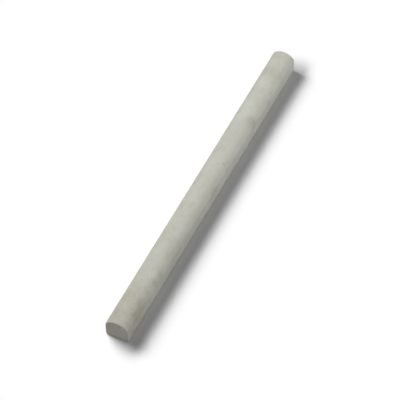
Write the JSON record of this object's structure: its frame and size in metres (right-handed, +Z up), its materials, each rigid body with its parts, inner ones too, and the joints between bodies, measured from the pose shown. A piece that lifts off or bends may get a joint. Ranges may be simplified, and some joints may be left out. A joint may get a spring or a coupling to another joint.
{
  "type": "marble bullnose tile",
  "caption": "Slim bar of solid marble trim with a domed face, straight sides, a flat sawn back and square sawn ends, laid along an edge to finish it",
  "frame": {"origin": "middle of the flat back, on the surface that the bar lies on", "axes": "+X along the bar, +Y across it, +Z up through the crown"},
  "size_m": [0.305, 0.019, 0.019],
  "materials": {
    "marble": "honed greyish cream marble with soft clouds and a few brown patches"
  },
  "bodies": {
    "root": {"bullnose_bar": "marble"}
  },
  "joints": []
}
